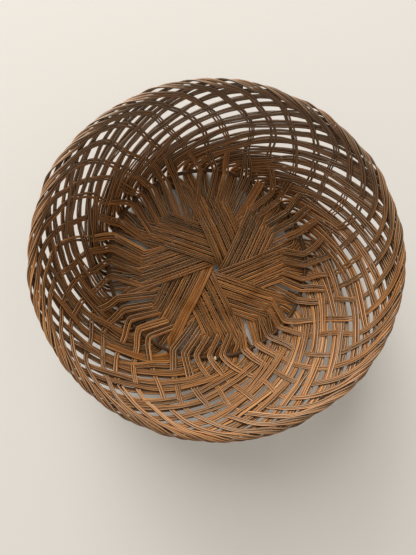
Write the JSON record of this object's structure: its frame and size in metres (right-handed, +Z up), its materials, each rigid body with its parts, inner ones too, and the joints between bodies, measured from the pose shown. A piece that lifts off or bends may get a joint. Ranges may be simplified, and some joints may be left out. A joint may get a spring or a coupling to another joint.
{
  "type": "round rattan basket",
  "caption": "Shallow round open basket woven from flat rattan strands, with a flared lattice wall, a rolled rim and a pinwheel base, for holding bread, fruit or small things.",
  "frame": {"origin": "centre of the base on the surface that the basket stands on", "axes": "+Z up out of the bowl, +X along the slightly longer side of the rim"},
  "size_m": [0.312, 0.291, 0.0939],
  "materials": {
    "rattan": "satin, brown stain",
    "golden_splint": "satin, golden brown stain",
    "hoop_cane": "matt, greyish brown"
  },
  "bodies": {
    "root": {"arm_1_strand_1": "rattan", "arm_1_strand_2": "rattan", "arm_1_strand_3": "rattan", "arm_1_strand_4": "rattan", "arm_1_strand_5": "rattan", "arm_2_strand_1": "rattan", "arm_2_strand_2": "rattan", "arm_2_strand_3": "rattan", "arm_2_strand_4": "rattan", "arm_2_strand_5": "rattan", "arm_3_strand_1": "rattan", "arm_3_strand_2": "rattan", "arm_3_strand_3": "rattan", "arm_3_strand_4": "rattan", "arm_3_strand_5": "rattan", "arm_4_strand_1": "rattan", "arm_4_strand_2": "rattan", "arm_4_strand_3": "rattan", "arm_4_strand_4": "rattan", "arm_4_strand_5": "rattan", "arm_5_strand_1": "rattan", "arm_5_strand_2": "rattan", "arm_5_strand_3": "rattan", "arm_5_strand_4": "rattan", "arm_5_strand_5": "rattan", "arm_6_strand_2": "rattan", "arm_6_strand_3": "rattan", "arm_6_strand_4": "rattan", "arm_6_strand_5": "rattan", "arm_7_strand_1": "rattan", "arm_7_strand_2": "rattan", "arm_7_strand_3": "rattan", "arm_7_strand_4": "rattan", "arm_7_strand_5": "rattan", "arm_8_strand_1": "rattan", "arm_8_strand_2": "rattan", "arm_8_strand_3": "rattan", "arm_8_strand_4": "rattan", "arm_8_strand_5": "rattan", "broad_splint": "golden_splint", "base_hoop": "hoop_cane"}
  },
  "joints": []
}
